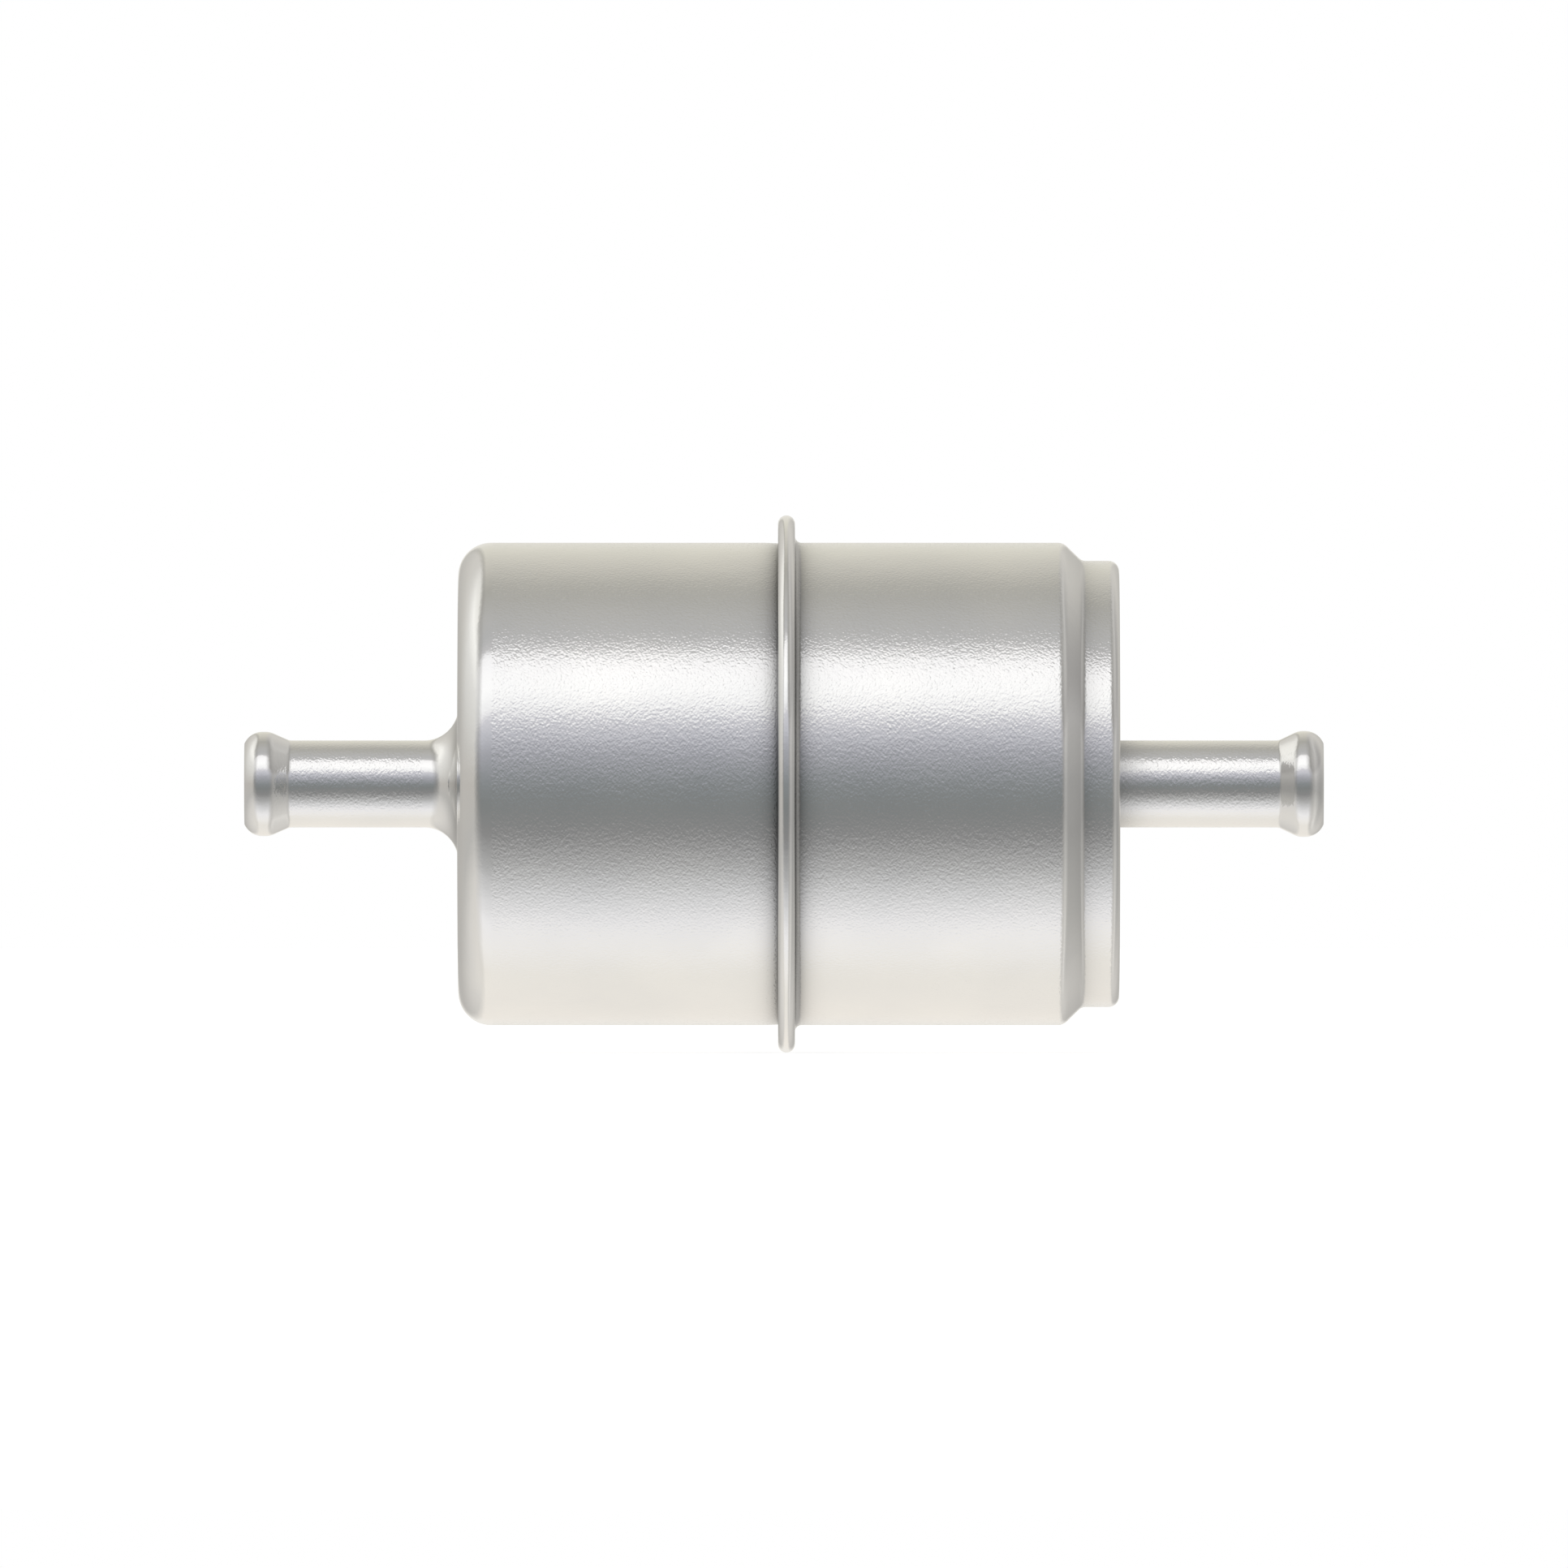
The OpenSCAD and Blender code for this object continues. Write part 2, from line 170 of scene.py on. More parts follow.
def bentSide(path, offset, arcStep=6):
    # one side of a bent sheet; path holds (x, radius, bend radius), offset lies to its left
    points = []
    places = [Vector(p[:2]) for p in path]
    for i, here in enumerate(places):
        before = (here - places[i - 1]).normalized() if i else None
        after = (places[i + 1] - here).normalized() if i < len(places) - 1 else None
        if before is None or after is None:
            along = after or before
            points.append(here + offset * Vector((-along.y, along.x)))
            continue
        turn = math.atan2(before.cross(after), before.dot(after))
        side = math.copysign(1, turn)
        leftBefore, leftAfter = Vector((-before.y, before.x)), Vector((-after.y, after.x))
        mitre = here + offset * (leftBefore + leftAfter) / (1 + before.dot(after))
        bend = path[i][2] - side * offset
        if bend <= 0:
            points.append(mitre)
            continue
        centre = mitre - bend * math.tan(abs(turn) / 2) * before + side * bend * leftBefore
        steps = max(2, math.ceil(math.degrees(abs(turn)) / arcStep))
        for k in range(steps + 1):
            spoke = Matrix.Rotation(turn * k / steps, 2) @ (side * bend * leftBefore)
            points.append(centre - spoke)
    return points


def heldStraights(points, hold=0.12 * mm):
    # a ring close to each end of a long straight keeps its shading flat
    held = []
    count = len(points)
    for i, here in enumerate(points):
        there = points[(i + 1) % count]
        held.append(here)
        gap = there - here
        if gap.length > 4 * hold:
            held.append(here + gap.normalized() * hold)
            held.append(there - gap.normalized() * hold)
    return held


def sheetSection(path, thickness):
    section = bentSide(path, 0) + list(reversed(bentSide(path, thickness)))
    return heldStraights(section)


def finishPiece(name, bm, mat, body, replaced, sharpAngle=40):
    bmesh.ops.remove_doubles(bm, verts=bm.verts, dist=1e-6)
    bmesh.ops.delete(bm, geom=[edge for edge in bm.edges if not edge.link_faces], context="EDGES")
    bmesh.ops.recalc_face_normals(bm, faces=bm.faces)
    mesh = bpy.data.meshes.new(name)
    bm.to_mesh(mesh)
    bm.free()
    mesh.shade_smooth()
    mesh.set_sharp_from_angle(angle=math.radians(sharpAngle))
    mesh.materials.append(mat)
    piece = bpy.data.objects.new(name, mesh)
    bpy.context.scene.collection.objects.link(piece)
    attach(piece, body)
    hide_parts(*replaced)
    return piece


def spinSection(section, steps=192):
    bm = bmesh.new()
    verts = [bm.verts.new((p[0], 0, p[1])) for p in section]
    edges = [bm.edges.new((verts[i - 1], verts[i])) for i in range(len(verts))]
    bmesh.ops.spin(
        bm, geom=verts + edges, cent=(0, 0, 0), axis=(1, 0, 0),
        angle=math.tau, steps=steps, use_merge=True)
    return bm


def vertsOf(parts):
    return [part for part in parts if isinstance(part, bmesh.types.BMVert)]


def growEdges(bm, edges):
    # sweeps these edges on, and gives the new verts and edges while they still lie on the old ones
    grown = bmesh.ops.extrude_edge_only(bm, edges=edges)["geom"]
    verts = vertsOf(grown)
    newEdges = [part for part in grown if isinstance(part, bmesh.types.BMEdge)]
    return verts, [edge for edge in newEdges if all(vert in verts for vert in edge.verts)]


def thicken(piece, thickness):
    solid = piece.modifiers.new("thickness", "SOLIDIFY")
    solid.thickness = thickness
    solid.offset = 0
    solid.use_even_offset = True


# metals

tinPlate = {
    "bright": (0.905, 0.90, 0.885),
    "dull": (0.85, 0.85, 0.845),
    "cloudScale": 90,
    "peelScale": 5200,
    "peelStretch": (1, 1, 1.8),
    "peelTurn": math.radians(33),
    "peelDepth": 0.044 * mm,
    "peelOnBends": 0.15,
    "peelFade": 0.3 * mm,
    "waveScale": 700,
    "waveDepth": 0.012 * mm,
    "roughness": (0.06, 0.09),
    "heatRoughness": 0.22,
    "heatReach": 4.5 * mm,
}


def paintedCreviceShade(tree, where, atX, reach, strength, radii=None):
    # painted shade, darkest at this place along the can, fading over its reach; radii keep it on one stretch
    x, y, z = axesOn(tree, where)
    away = mathOn(tree, "ABSOLUTE", mathOn(tree, "SUBTRACT", x, atX))
    fade = mathOn(tree, "EXPONENT", mathOn(tree, "DIVIDE", away, -reach))
    dark = mathOn(tree, "MULTIPLY", fade, strength)
    if radii:
        squares = [mathOn(tree, "POWER", side, 2) for side in (y, z)]
        around = mathOn(tree, "SQRT", mathOn(tree, "ADD", *squares))
        dark = mathOn(tree, "MULTIPLY", dark, rangeOn(tree, around, 1, 0, *radii, "SMOOTHSTEP"))
    return dark


def onStretches(tree, where, stretches, fade):
    # 1 on these stretches of the axis, 0 between and past them
    x = axesOn(tree, where)[0]
    found = 0
    for start, end in stretches:
        begun = rangeOn(tree, x, 0, 1, start, start + fade, "SMOOTHSTEP")
        ended = rangeOn(tree, x, 1, 0, end - fade, end, "SMOOTHSTEP")
        found = mathOn(tree, "ADD", found, mathOn(tree, "MULTIPLY", begun, ended))
    return found


def tinPlateMaterial(name, settings, straights, paintedShades, dulledFrom=None):
    mat, tree, shader = newMaterial(name)
    where = placeOn(tree)
    clouds = noiseOn(tree, where, settings["cloudScale"], 4)
    tone = rampOn(tree, clouds, [(0.3, settings["dull"]), (0.7, settings["bright"])])
    # each crevice's painted shade darkens the base colour towards black
    for place in paintedShades:
        tone = mixOn(tree, paintedCreviceShade(tree, where, *place), tone, (0.0, 0.0, 0.0))
    tree.links.new(tone, shader.inputs["Base Color"])
    peels = [
        noiseOn(tree, placeOn(tree, settings["peelStretch"], (0, turn, 0)), settings["peelScale"], 1)
        for turn in (settings["peelTurn"], -settings["peelTurn"])
    ]
    fine = mathOn(tree, "MULTIPLY", mathOn(tree, "ADD", *peels), 0.5)
    waves = noiseOn(tree, where, settings["waveScale"], 1)
    rough = rangeOn(tree, fine, *settings["roughness"])
    if dulledFrom is not None:
        # the heat of brazing leaves the tube duller near the can
        heated = rangeOn(
            tree, axesOn(tree, where)[0], settings["heatRoughness"], 0,
            dulledFrom, dulledFrom + settings["heatReach"], "SMOOTHSTEP")
        rough = mathOn(tree, "ADD", rough, heated)
    tree.links.new(rough, shader.inputs["Roughness"])
    onStraights = onStretches(tree, where, straights, settings["peelFade"])
    peeled = rangeOn(tree, onStraights, settings["peelOnBends"], 1, 0, 1)
    normal = bumpOn(tree, waves, settings["waveDepth"])
    normal = bumpOn(tree, fine, settings["peelDepth"], peeled, normal)
    tree.links.new(normal, shader.inputs["Normal"])
    shader.inputs["Metallic"].default_value = 1
    return mat


# the two cans and the outlet tube

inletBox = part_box("inlet_shell")
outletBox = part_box("outlet_shell")
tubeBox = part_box("outlet_tube")
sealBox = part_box("seam_seal")

can = {
    "steps": 256,
    "sheet": 0.45 * mm,
    "radius": 22 * mm,
    "inletTube": 19.5 * mm,
    "inletCorner": 3 * mm,
    "flare": 3.1 * mm,
    "seamFoot": 0.6 * mm,
    "flangeBend": 0.1 * mm,
    "edgeGap": 0.12 * mm,
    "waistDrop": 0.05 * mm,
    "waistLength": 1.2 * mm,
    "waistBends": (0.4 * mm, 2 * mm),
    "stepDrop": 1.65 * mm,
    "shoulderLength": 1.7 * mm,
    "stepLength": 3.4 * mm,
    "shoulderCrest": 1.2 * mm,
    "shoulderFoot": 0.9 * mm,
    "stepCorner": 0.95 * mm,
    "tubeGap": 0.03 * mm,
}

hoseTube = {
    "radius": 3.97 * mm,
    "wall": 0.7 * mm,
    "inletRise": 0.79 * mm,
    "outletRise": 0.86 * mm,
    "beadLength": 4.1 * mm,
    "rampLength": 1.8 * mm,
    "lead": 0.55 * mm,
    "lipDrop": 0.25 * mm,
    "crestBend": 1.8 * mm,
    "rampFoot": 1 * mm,
    "collar": 0.85 * mm,
    "collarChamfer": 0.1 * mm,
    "collarRound": 0.25 * mm,
}

# the places where the cans turn, from the inlet to the outlet
inletEndX = inletBox[0].x + can["inletTube"]
seamInletX = outletBox[0].x
seamOutletX = sealBox[1].x + can["sheet"]
stepX = outletBox[1].x - can["stepLength"]
shoulderX = stepX - can["shoulderLength"]

# painted shade where the cans meet the seam, the step and the inlet end's flare, with thin dark lines in the
# seam's creases: place along the can, reach, strength, and the radii past which it fades
paintedShadeOnInletCan = [
    (seamInletX, 0.75 * mm, 0.8),
    (inletEndX - 0.2 * mm, 0.35 * mm, 0.34, (7 * mm, 9 * mm)),
]
paintedShadeOnOutletCan = [
    (seamOutletX + 0.45 * mm, 0.75 * mm, 0.56, (22.1 * mm, 22.35 * mm)),
    (seamOutletX + 0.07 * mm, 0.08 * mm, 0.75),
    (seamInletX - 0.02 * mm, 0.06 * mm, 0.85),
    (stepX + 0.15 * mm, 0.9 * mm, 0.24),
]
# painted shade on the tube next to the outlet can's end wall, dimming its highlight there
paintedShadeOnTube = [(outletBox[1].x, 1.6 * mm, 0.32)]

# walls along the axis, between the bends and end walls; only they show the full peel
straightOnInletCan = [
    (inletBox[0].x + hoseTube["beadLength"], inletEndX - can["flare"]),
    (inletEndX + can["inletCorner"], seamInletX),
]
# on the step the peel runs some way on to the corner
straightOnOutletCan = [
    (seamOutletX, shoulderX),
    (stepX, outletBox[1].x - 0.6 * can["stepCorner"]),
]
straightOnTube = [(outletBox[1].x, tubeBox[1].x - hoseTube["beadLength"])]

inletCanMetal = tinPlateMaterial("tinPlatedInletCan", tinPlate, straightOnInletCan, paintedShadeOnInletCan)
outletCanMetal = tinPlateMaterial("tinPlatedOutletCan", tinPlate, straightOnOutletCan, paintedShadeOnOutletCan)
tubeMetal = tinPlateMaterial("tinPlatedTube", tinPlate, straightOnTube, paintedShadeOnTube, outletBox[1].x)


def beadedTip(tipX, inwards, rise):
    # from the lip over the bead and down its ramp: (x, radius, bend radius)
    lip = hoseTube["radius"] - hoseTube["lipDrop"]
    crest = hoseTube["radius"] + rise
    return [
        (tipX, lip, 0),
        (tipX + inwards * hoseTube["lead"], crest, hoseTube["crestBend"]),
        (tipX + inwards * (hoseTube["beadLength"] - hoseTube["rampLength"]), crest, hoseTube["crestBend"]),
        (tipX + inwards * hoseTube["beadLength"], hoseTube["radius"], hoseTube["rampFoot"]),
    ]


def makeInletShell():
    flangeX = seamInletX + can["sheet"]
    waist = can["radius"] - can["waistDrop"]
    innerBend, outerBend = can["waistBends"]
    path = [
        (flangeX, inletBox[1].z, 0),
        (flangeX, waist, can["flangeBend"]),
        (seamInletX, waist, innerBend),
        (seamInletX - can["waistLength"], can["radius"], outerBend),
        (inletEndX, can["radius"], can["inletCorner"]),
        (inletEndX, hoseTube["radius"], can["flare"]),
    ] + list(reversed(beadedTip(inletBox[0].x, 1, hoseTube["inletRise"])))
    bm = spinSection(sheetSection(path, can["sheet"]), can["steps"])
    return finishPiece("inletShell", bm, inletCanMetal, "housing", ["inlet_shell"])


def makeOutletShell():
    wallX = outletBox[1].x
    step = can["radius"] - can["stepDrop"]
    seamRadius = outletBox[1].z
    roll = (seamOutletX - seamInletX) / 2
    path = [
        (wallX, hoseTube["radius"] + can["tubeGap"], 0),
        (wallX, step, can["stepCorner"]),
        (stepX, step, can["shoulderFoot"]),
        (shoulderX, can["radius"], can["shoulderCrest"]),
        (seamOutletX, can["radius"], can["seamFoot"]),
        (seamOutletX, seamRadius, roll),
        (seamInletX, seamRadius, roll),
        (seamInletX, can["radius"] - can["waistDrop"] + can["edgeGap"], 0),
    ]
    bm = spinSection(sheetSection(path, can["sheet"]), can["steps"])
    return finishPiece("outletShell", bm, outletCanMetal, "housing", ["outlet_shell"])


def makeOutletTube():
    seatX = outletBox[1].x - can["sheet"]
    innerX = seatX - hoseTube["collar"]
    path = beadedTip(tubeBox[1].x, -1, hoseTube["outletRise"])
    outside = bentSide(path + [(seatX, hoseTube["radius"], 0)], 0)
    inside = bentSide(path + [(innerX, hoseTube["radius"], 0)], hoseTube["wall"])
    collarRadius = tubeBox[1].z
    chamfer = hoseTube["collarChamfer"]
    bend = hoseTube["collarRound"]
    collar = [Vector((seatX, collarRadius - chamfer)), Vector((seatX - chamfer, collarRadius))]
    collar += arc((innerX + bend, collarRadius - bend), bend, 90, 180, 6)
    bm = spinSection(heldStraights(outside + collar + list(reversed(inside))))
    return finishPiece("outletTube", bm, tubeMetal, "housing", ["outlet_tube"])


inletShell = makeInletShell()
outletShell = makeOutletShell()
outletTube = makeOutletTube()
print("cans and outlet tube made")


# finishes of the pieces inside

patchShare = 0.6


def grainMaterial(name, settings):
    # broad patches and fine grain together set tone and roughness; the grain alone is felt
    mat, tree, shader = newMaterial(name)
    where = placeOn(tree, settings.get("stretch", (1, 1, 1)))
    patches = noiseOn(tree, where, settings["patchScale"], 3)
    grain = noiseOn(tree, where, settings["grainScale"], 5, 0.6)
    shares = [mathOn(tree, "MULTIPLY", patches, patchShare), mathOn(tree, "MULTIPLY", grain, 1 - patchShare)]
    both = mathOn(tree, "ADD", *shares)
    tone = rampOn(tree, both, [(0.35, settings["dark"]), (0.65, settings["light"])])
    tree.links.new(tone, shader.inputs["Base Color"])
    tree.links.new(rangeOn(tree, both, *settings["roughness"], 0.35, 0.65), shader.inputs["Roughness"])
    tree.links.new(bumpOn(tree, grain, settings["depth"]), shader.inputs["Normal"])
    shader.inputs["Metallic"].default_value = settings["metallic"]
    return mat, tree, shader


stampedTin = {
    "dark": (0.60, 0.60, 0.58), "light": (0.76, 0.76, 0.74), "patchScale": 160, "grainScale": 2600,
    "roughness": (0.2, 0.34), "depth": 0.006 * mm, "metallic": 1,
}
coreTin = {
    "dark": (0.55, 0.55, 0.54), "light": (0.74, 0.74, 0.73), "patchScale": 220, "grainScale": 3000,
    "stretch": (8, 1, 1), "roughness": (0.22, 0.4), "depth": 0.006 * mm, "metallic": 1,
}
stampedTinMetal = grainMaterial("stampedTinPlate", stampedTin)[0]
coreMetal = grainMaterial("coreTinPlate", coreTin)[0]


# sealing compound in the seam, and the braze behind the outlet tube

sealing = {
    "dark": (0.02, 0.02, 0.02), "light": (0.06, 0.06, 0.058), "patchScale": 400, "grainScale": 2500,
    "roughness": (0.55, 0.8), "depth": 0.01 * mm, "metallic": 0,
    "edge": 0.05 * mm,
}
brazing = {
    "dark": (0.62, 0.33, 0.13), "light": (0.86, 0.56, 0.27), "patchScale": 500, "grainScale": 2200,
    "roughness": (0.22, 0.45), "depth": 0.012 * mm, "metallic": 1,
    "steps": 128,
}


def cutRing(fromX, toX, inner, outer, edge):
    # a flat ring with this much rounding on its four edges
    section = arc((fromX + edge, inner + edge), edge, 180, 270, 5)
    section += arc((toX - edge, inner + edge), edge, 270, 360, 5)
    section += arc((toX - edge, outer - edge), edge, 0, 90, 5)
    section += arc((fromX + edge, outer - edge), edge, 90, 180, 5)
    return heldStraights(section)


def makeSeamSeal():
    section = cutRing(
        sealBox[0].x, sealBox[1].x, can["radius"] + can["sheet"], sealBox[1].z, sealing["edge"])
    mat = grainMaterial("sealingCompound", sealing)[0]
    bm = spinSection(section, can["steps"])
    return finishPiece("seamSeal", bm, mat, "housing", ["seam_seal"])


def makeBrazeRing():
    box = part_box("braze_ring")
    leg = box[1].x - box[0].x
    collar = tubeBox[1].z
    section = [Vector((box[1].x, collar))] + arc((box[0].x, collar + leg), leg, 0, -90, 12)
    mat = grainMaterial("brazeMetal", brazing)[0]
    bm = spinSection(section, brazing["steps"])
    return finishPiece("brazeRing", bm, mat, "housing", ["braze_ring"])


seamSeal = makeSeamSeal()
brazeRing = makeBrazeRing()


# conical spring

spring = {
    "wire": 1.2 * mm,
    "turns": 4,
    "flatTurns": 0.6,
    "largeRadius": 13.5 * mm,
    "smallRadius": 9.1 * mm,
    "endGap": 0.03 * mm,
    "endRound": 0.12 * mm,
    "wireSides": 20,
    "stepsPerTurn": 60,
    "kept": 0.685,
    "dark": (0.30, 0.30, 0.31), "light": (0.52, 0.52, 0.54), "patchScale": 300, "grainScale": 3500,
    "roughness": (0.24, 0.42), "depth": 0.008 * mm, "metallic": 1,
}


def coilPlace(seatX, height, turns):
    rising = min(max(turns - spring["flatTurns"], 0), spring["turns"] - 2 * spring["flatTurns"])
    climb = (height - spring["wire"] - 2 * spring["endGap"]) / (spring["turns"] - 2 * spring["flatTurns"])
    narrowing = (spring["smallRadius"] - spring["largeRadius"]) * turns / spring["turns"]
    x = seatX + spring["endGap"] + spring["wire"] / 2 + climb * rising
    turned = Matrix.Rotation(math.tau * turns, 4, "X")
    return turned @ Matrix.Translation((x, spring["largeRadius"] + narrowing, 0))


def makeSpring():
    seatX = inletEndX + can["sheet"]
    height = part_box("preload_spring")[1].x + spring["endGap"] - seatX
    bm = bmesh.new()
    made = bmesh.ops.create_circle(bm, segments=spring["wireSides"], radius=spring["wire"] / 2)
    place = coilPlace(seatX, height, 0)
    bmesh.ops.transform(bm, matrix=place, verts=made["verts"])
    edges = bm.edges[:]
    firstEnd = bmesh.ops.contextual_create(bm, geom=edges)["faces"]
    for k in range(1, spring["turns"] * spring["stepsPerTurn"] + 1):
        onward = coilPlace(seatX, height, k / spring["stepsPerTurn"])
        verts, edges = growEdges(bm, edges)
        bmesh.ops.transform(bm, matrix=onward @ place.inverted(), verts=verts)
        place = onward
    lastEnd = bmesh.ops.contextual_create(bm, geom=edges)["faces"]
    rims = [edge for face in firstEnd + lastEnd for edge in face.edges]
    bmesh.ops.bevel(
        bm, geom=rims, offset=spring["endRound"], segments=3, profile=0.5, affect="EDGES", material=-1)
    mat = grainMaterial("springWire", spring)[0]
    piece = finishPiece("preloadSpring", bm, mat, "housing", ["preload_spring"])
    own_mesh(piece)
    return piece


preloadSpring = makeSpring()
print("seal, braze and spring made")


# end caps of the cartridge

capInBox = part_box("inlet_end_cap")
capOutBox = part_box("outlet_end_cap")

cap = {
    "sheet": 0.35 * mm,
    "rim": 3 * mm,
    "bend": 0.7 * mm,
    "bossRadius": 8.2 * mm,
    "bossRise": 1.2 * mm,
    "lugWidth": 5 * mm,
    "lugPad": 1.8 * mm,
    "lugGap": 0.25 * mm,
    "lugOverlap": 0.02 * mm,
    "lugs": 4,
    "coreGap": 0.03 * mm,
}
capRadius = capOutBox[1].z
capInX = capInBox[0].x + cap["bossRise"]
rimInX = capInX + cap["rim"]


def addLugs(bm):
    lugRadius = can["radius"] - can["sheet"] - cap["lugGap"]
    path = [
        (rimInX, capRadius - cap["lugOverlap"], 0),
        (rimInX, lugRadius, cap["sheet"]),
        (rimInX - cap["lugPad"], lugRadius, 0),
    ]
    wide = cap["lugWidth"] / lugRadius
    section = bentSide(path, 0) + list(reversed(bentSide(path, cap["sheet"])))
    for k in range(cap["lugs"]):
        verts = [bm.verts.new((p.x, 0, p.y)) for p in section]
        turned = Matrix.Rotation(k * math.tau / cap["lugs"] + wide / 2, 4, "X")
        bmesh.ops.transform(bm, matrix=turned, verts=verts)
        face = bm.faces.new(verts)
        bmesh.ops.spin(bm, geom=[face], cent=(0, 0, 0), axis=(1, 0, 0), angle=wide, steps=10)


def makeInletCap():
    path = [
        (rimInX, capRadius, 0),
        (capInX, capRadius, cap["bend"]),
        (capInX, cap["bossRadius"], cap["bend"] - cap["sheet"]),
        (capInX - cap["bossRise"], cap["bossRadius"], cap["bend"]),
        (capInX - cap["bossRise"], 0, 0),
    ]
    bm = spinSection(sheetSection(path, cap["sheet"]))
    addLugs(bm)
    return finishPiece("inletCap", bm, stampedTinMetal, "element", ["inlet_end_cap"])


def makeOutletCap():
    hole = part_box("perforated_core")[1].z - core["wall"] - cap["coreGap"] - cap["sheet"]
    path = [
        (capOutBox[0].x, hole, 0),
        (capOutBox[1].x, hole, cap["bend"]),
        (capOutBox[1].x, capRadius, cap["bend"]),
        (capOutBox[1].x - cap["rim"], capRadius, 0),
    ]
    bm = spinSection(sheetSection(path, cap["sheet"]))
    return finishPiece("outletCap", bm, stampedTinMetal, "element", ["outlet_end_cap"])


# perforated core

core = {
    "wall": 0.4 * mm,
    "hole": 2.6 * mm,
    "holeSides": 24,
    "holeRim": 1.25,
    "pitch": 5 * mm,
    "round": 8,
    "rings": 9,
    "holeTurn": 0.25,
}


def squareUp(vert, halfTall, halfWide):
    # evenly spaced along the sides of the cell, so that shifted rows meet
    degrees = math.degrees(math.atan2(vert.co.y, vert.co.x))
    side = round(degrees / 90)
    along = (degrees - side * 90) / 45
    flat = Matrix.Rotation(math.radians(side * 90), 2) @ Vector((1, along))
    vert.co = (flat.x * halfTall, flat.y * halfWide, 0)


def makeCore():
    # one flat cell with its hole, laid out in rows, then bent round into a tube
    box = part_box("perforated_core")
    radius = box[1].z - core["wall"] / 2
    wide = math.tau * radius / core["round"]
    bm = bmesh.new()
    bmesh.ops.create_circle(bm, segments=core["holeSides"], radius=core["hole"] / 2)
    verts, edges = growEdges(bm, bm.edges[:])
    bmesh.ops.scale(bm, verts=verts, vec=(core["holeRim"], core["holeRim"], 1))
    for vert in growEdges(bm, edges)[0]:
        squareUp(vert, core["pitch"] / 2, wide / 2)
    cell = bm.verts[:] + bm.edges[:] + bm.faces[:]
    middle = (box[0].x + capOutBox[1].x - cap["sheet"]) / 2
    firstX = middle - (core["rings"] - 1) * core["pitch"] / 2
    for i in range(core["rings"]):
        for k in range(core["round"]):
            copied = bmesh.ops.duplicate(bm, geom=cell)["geom"]
            along = (k + core["holeTurn"] + (i % 2) / 2) * wide
            bmesh.ops.translate(bm, verts=vertsOf(copied), vec=(firstX + i * core["pitch"], along, 0))
    bmesh.ops.delete(bm, geom=vertsOf(cell), context="VERTS")
    for vert in bm.verts:
        turn = vert.co.y / radius
        vert.co = (vert.co.x, radius * -math.sin(turn), radius * math.cos(turn))
    bmesh.ops.remove_doubles(bm, verts=bm.verts, dist=2e-6)
    for endX, sign in ((box[0].x, -1), (box[1].x, 1)):
        rimX = middle + sign * core["rings"] * core["pitch"] / 2
        rim = [e for e in bm.edges if e.is_boundary and all(abs(v.co.x - rimX) < 1e-6 for v in e.verts)]
        verts = growEdges(bm, rim)[0]
        bmesh.ops.translate(bm, verts=verts, vec=(endX - rimX, 0, 0))
    piece = finishPiece("perforatedCore", bm, coreMetal, "element", ["perforated_core"])
    thicken(piece, core["wall"])
    return piece


# potting, paper, clip and gasket

plastisol = {
    "dark": (0.52, 0.075, 0.02), "light": (0.72, 0.15, 0.045), "patchScale": 120, "grainScale": 900,
    "roughness": (0.3, 0.5), "depth": 0.03 * mm, "metallic": 0,
    "edge": 0.15 * mm,
}


def makePotting(name, nodeName, mat):
    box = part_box(nodeName)
    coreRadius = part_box("perforated_core")[1].z
    section = cutRing(box[0].x, box[1].x, coreRadius, box[1].z, plastisol["edge"])
    return finishPiece(name, spinSection(section), mat, "element", [nodeName])


paper = {
    "thickness": 0.4 * mm,
    "pleats": 36,
    "outerFold": 0.6 * mm,
    "coreGap": 0.15 * mm,
    "steps": 24,
    "dark": (0.62, 0.42, 0.17), "light": (0.80, 0.62, 0.34), "patchScale": 90, "grainScale": 1500,
    "roughness": (0.78, 0.95), "depth": 0.05 * mm, "metallic": 0,
    "fibreScale": 5200, "fibreDepth": 0.03 * mm,
}


def halfPleat(outerX):
    # the paper's middle line from the top of an outer fold to the foot of the next inner one
    half = math.pi / paper["pleats"]
    outer = paper["outerFold"]
    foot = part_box("perforated_core")[1].z + paper["coreGap"] + paper["thickness"] / 2
    inner = foot * math.sin(half) - paper["thickness"] / 2 - paper["coreGap"] / 2
    innerAt = (foot + inner) * Vector((math.cos(half), math.sin(half)))
    toInner = innerAt - Vector((outerX, 0))
    leave = math.degrees(math.atan2(toInner.y, toInner.x) - math.acos((outer + inner) / toInner.length))
    back = math.degrees(half) + 180
    return arc((outerX, 0), outer, 0, leave, 7) + arc(innerAt, inner, leave + 180, back, 6)


